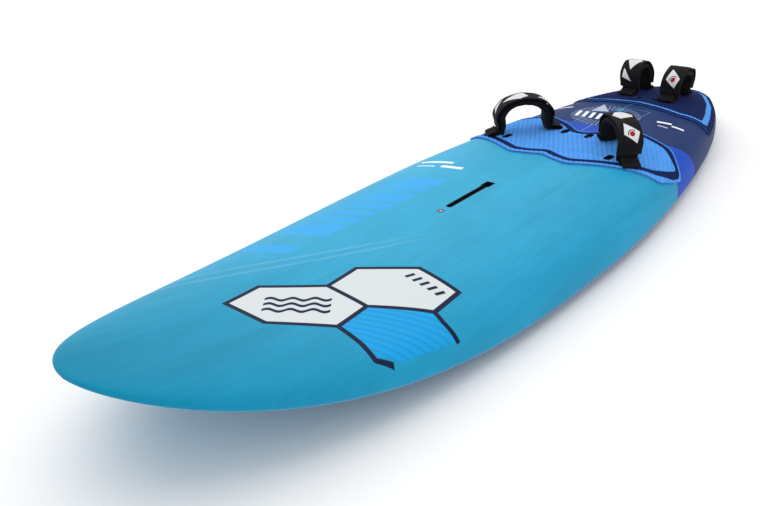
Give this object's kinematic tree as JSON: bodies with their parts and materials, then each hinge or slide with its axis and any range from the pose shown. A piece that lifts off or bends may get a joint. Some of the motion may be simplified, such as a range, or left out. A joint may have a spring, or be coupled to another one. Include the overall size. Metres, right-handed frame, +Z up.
{
  "type": "windsurf board",
  "caption": "Short wide sailboard with a slotted mast track, a vent, a slot fin box, grooved deck pads and padded foot straps that lean.",
  "frame": {"origin": "middle of the board's length and width, level with the lowest point of its bottom", "axes": "+X towards the nose, +Y to port (left when standing on the deck facing the nose), +Z up from the deck"},
  "size_m": [2.3496, 0.6628, 0.2445],
  "materials": {
    "eps_foam": "white expanded foam beads",
    "pvc_foam": "dense foam block",
    "deck_paint": "painted glass laminate with a non-slip grain",
    "bottom_paint": "smooth painted laminate",
    "box_plastic": "moulded black plastic",
    "insert_plastic": "moulded black plastic",
    "vent_plastic": "moulded dark plastic",
    "washer_plastic": "white seal",
    "brass": "worn brass",
    "stainless_steel": "satin",
    "blackened_steel": "black, satin",
    "sky_foam_sheet": "grooved foam sheet",
    "navy_foam_sheet": "grooved foam sheet",
    "black_webbing": "woven",
    "black_neoprene": "cloth-faced neoprene foam"
  },
  "bodies": {
    "hull": {"bottom_shell": "bottom_paint", "deck_shell": "deck_paint", "fin_box": "box_plastic", "foam_core": "eps_foam", "front_inner_port_spare_insert": "insert_plastic", "front_inner_starboard_spare_insert": "insert_plastic", "front_outer_port_spare_insert": "insert_plastic", "front_outer_starboard_spare_insert": "insert_plastic", "front_pad_base": "navy_foam_sheet", "front_pad_field": "sky_foam_sheet", "front_pad_margin": "sky_foam_sheet", "front_port_inner_foot": "black_webbing", "front_port_inner_insert": "insert_plastic", "front_port_inner_screw": "blackened_steel", "front_port_outer_foot": "black_webbing", "front_port_outer_insert": "insert_plastic", "front_port_outer_screw": "blackened_steel", "front_starboard_inner_foot": "black_webbing", "front_starboard_inner_insert": "insert_plastic", "front_starboard_inner_screw": "blackened_steel", "front_starboard_outer_foot": "black_webbing", "front_starboard_outer_insert": "insert_plastic", "front_starboard_outer_screw": "blackened_steel", "mast_track_block": "pvc_foam", "mast_track_box": "box_plastic", "rear_pad_base": "sky_foam_sheet", "rear_pad_field": "navy_foam_sheet", "rear_pad_margin": "navy_foam_sheet", "rear_port_aft_foot": "black_webbing", "rear_port_aft_insert": "insert_plastic", "rear_port_aft_screw": "blackened_steel", "rear_port_fore_foot": "black_webbing", "rear_port_fore_insert": "insert_plastic", "rear_port_fore_screw": "blackened_steel", "rear_port_spare_insert": "insert_plastic", "rear_starboard_aft_foot": "black_webbing", "rear_starboard_aft_insert": "insert_plastic", "rear_starboard_aft_screw": "blackened_steel", "rear_starboard_fore_foot": "black_webbing", "rear_starboard_fore_insert": "insert_plastic", "rear_starboard_fore_screw": "blackened_steel", "rear_starboard_spare_insert": "insert_plastic", "vent_insert": "vent_plastic", "vent_washer": "washer_plastic"},
    "front_port_strap": {"front_port_strap_webbing": "black_webbing", "front_port_strap_pad": "black_neoprene", "front_port_strap_cover": "black_neoprene"},
    "front_starboard_strap": {"front_starboard_strap_webbing": "black_webbing", "front_starboard_strap_pad": "black_neoprene", "front_starboard_strap_cover": "black_neoprene"},
    "rear_port_strap": {"rear_port_strap_webbing": "black_webbing", "rear_port_strap_pad": "black_neoprene", "rear_port_strap_cover": "black_neoprene"},
    "rear_starboard_strap": {"rear_starboard_strap_webbing": "black_webbing", "rear_starboard_strap_pad": "black_neoprene", "rear_starboard_strap_cover": "black_neoprene"},
    "vent_plug": {"vent_screw": "brass"},
    "fin_nut": {"fin_nut_plate": "stainless_steel"}
  },
  "joints": [
    {"name": "front_port_strap_lean", "type": "hinge", "parent": "hull", "child": "front_port_strap", "pos_m": [-0.30041, 0.14408, 0.17362], "axis": [-0.7096, -0.7027, 0.0512], "range_deg": [-20, 20], "stiffness_Nm_per_rad": 1},
    {"name": "front_starboard_strap_lean", "type": "hinge", "parent": "hull", "child": "front_starboard_strap", "pos_m": [-0.30041, -0.14408, 0.17362], "axis": [-0.7096, 0.7027, 0.0512], "range_deg": [-20, 20], "stiffness_Nm_per_rad": 1},
    {"name": "rear_port_strap_lean", "type": "hinge", "parent": "hull", "child": "rear_port_strap", "pos_m": [-0.86774, 0.06286, 0.16175], "axis": [-0.9945, -0.0506, -0.0914], "range_deg": [-20, 20], "stiffness_Nm_per_rad": 1},
    {"name": "rear_starboard_strap_lean", "type": "hinge", "parent": "hull", "child": "rear_starboard_strap", "pos_m": [-0.86774, -0.06286, 0.16175], "axis": [-0.9945, 0.0506, -0.0914], "range_deg": [-20, 20], "stiffness_Nm_per_rad": 1},
    {"name": "vent_screw_turn", "type": "hinge", "parent": "hull", "child": "vent_plug", "pos_m": [0.265, 0, 0.14006], "axis": [0, 0, 1], "continuous": true},
    {"name": "fin_nut_slide", "type": "slide", "parent": "hull", "child": "fin_nut", "axis": [1, 0, 0], "range_m": [-0.112, 0.09]}
  ]
}
